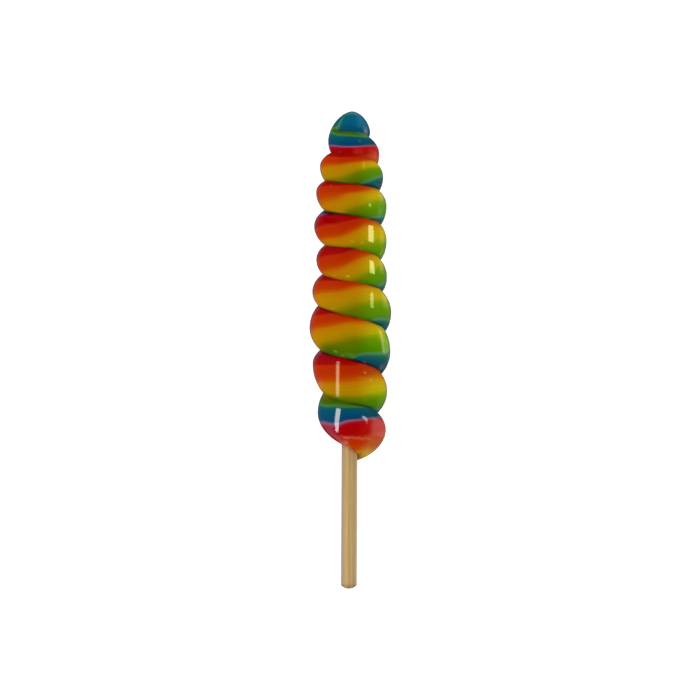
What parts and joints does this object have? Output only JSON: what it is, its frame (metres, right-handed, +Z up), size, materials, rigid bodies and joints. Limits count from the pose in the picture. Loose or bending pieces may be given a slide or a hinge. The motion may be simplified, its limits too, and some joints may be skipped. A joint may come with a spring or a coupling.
{
  "type": "swirl lollipop",
  "caption": "Rainbow candy rope wound in a tapering left-handed spiral round a plain wooden stick, lying on its side.",
  "frame": {"origin": "on the surface the lollipop lies on, below the centre of its box", "axes": "+Z up from that surface, +Y along the lollipop towards the candy's tip, +X to the right with the shown side up and the tip away"},
  "size_m": [0.0255, 0.1494, 0.0255],
  "materials": {
    "candy": "glossy boiled sugar in red, orange, yellow, green and blue stripes",
    "wood": "bare pale wood, fine grain along the stick"
  },
  "bodies": {
    "root": {"candy": "candy", "stick": "wood"}
  },
  "joints": []
}
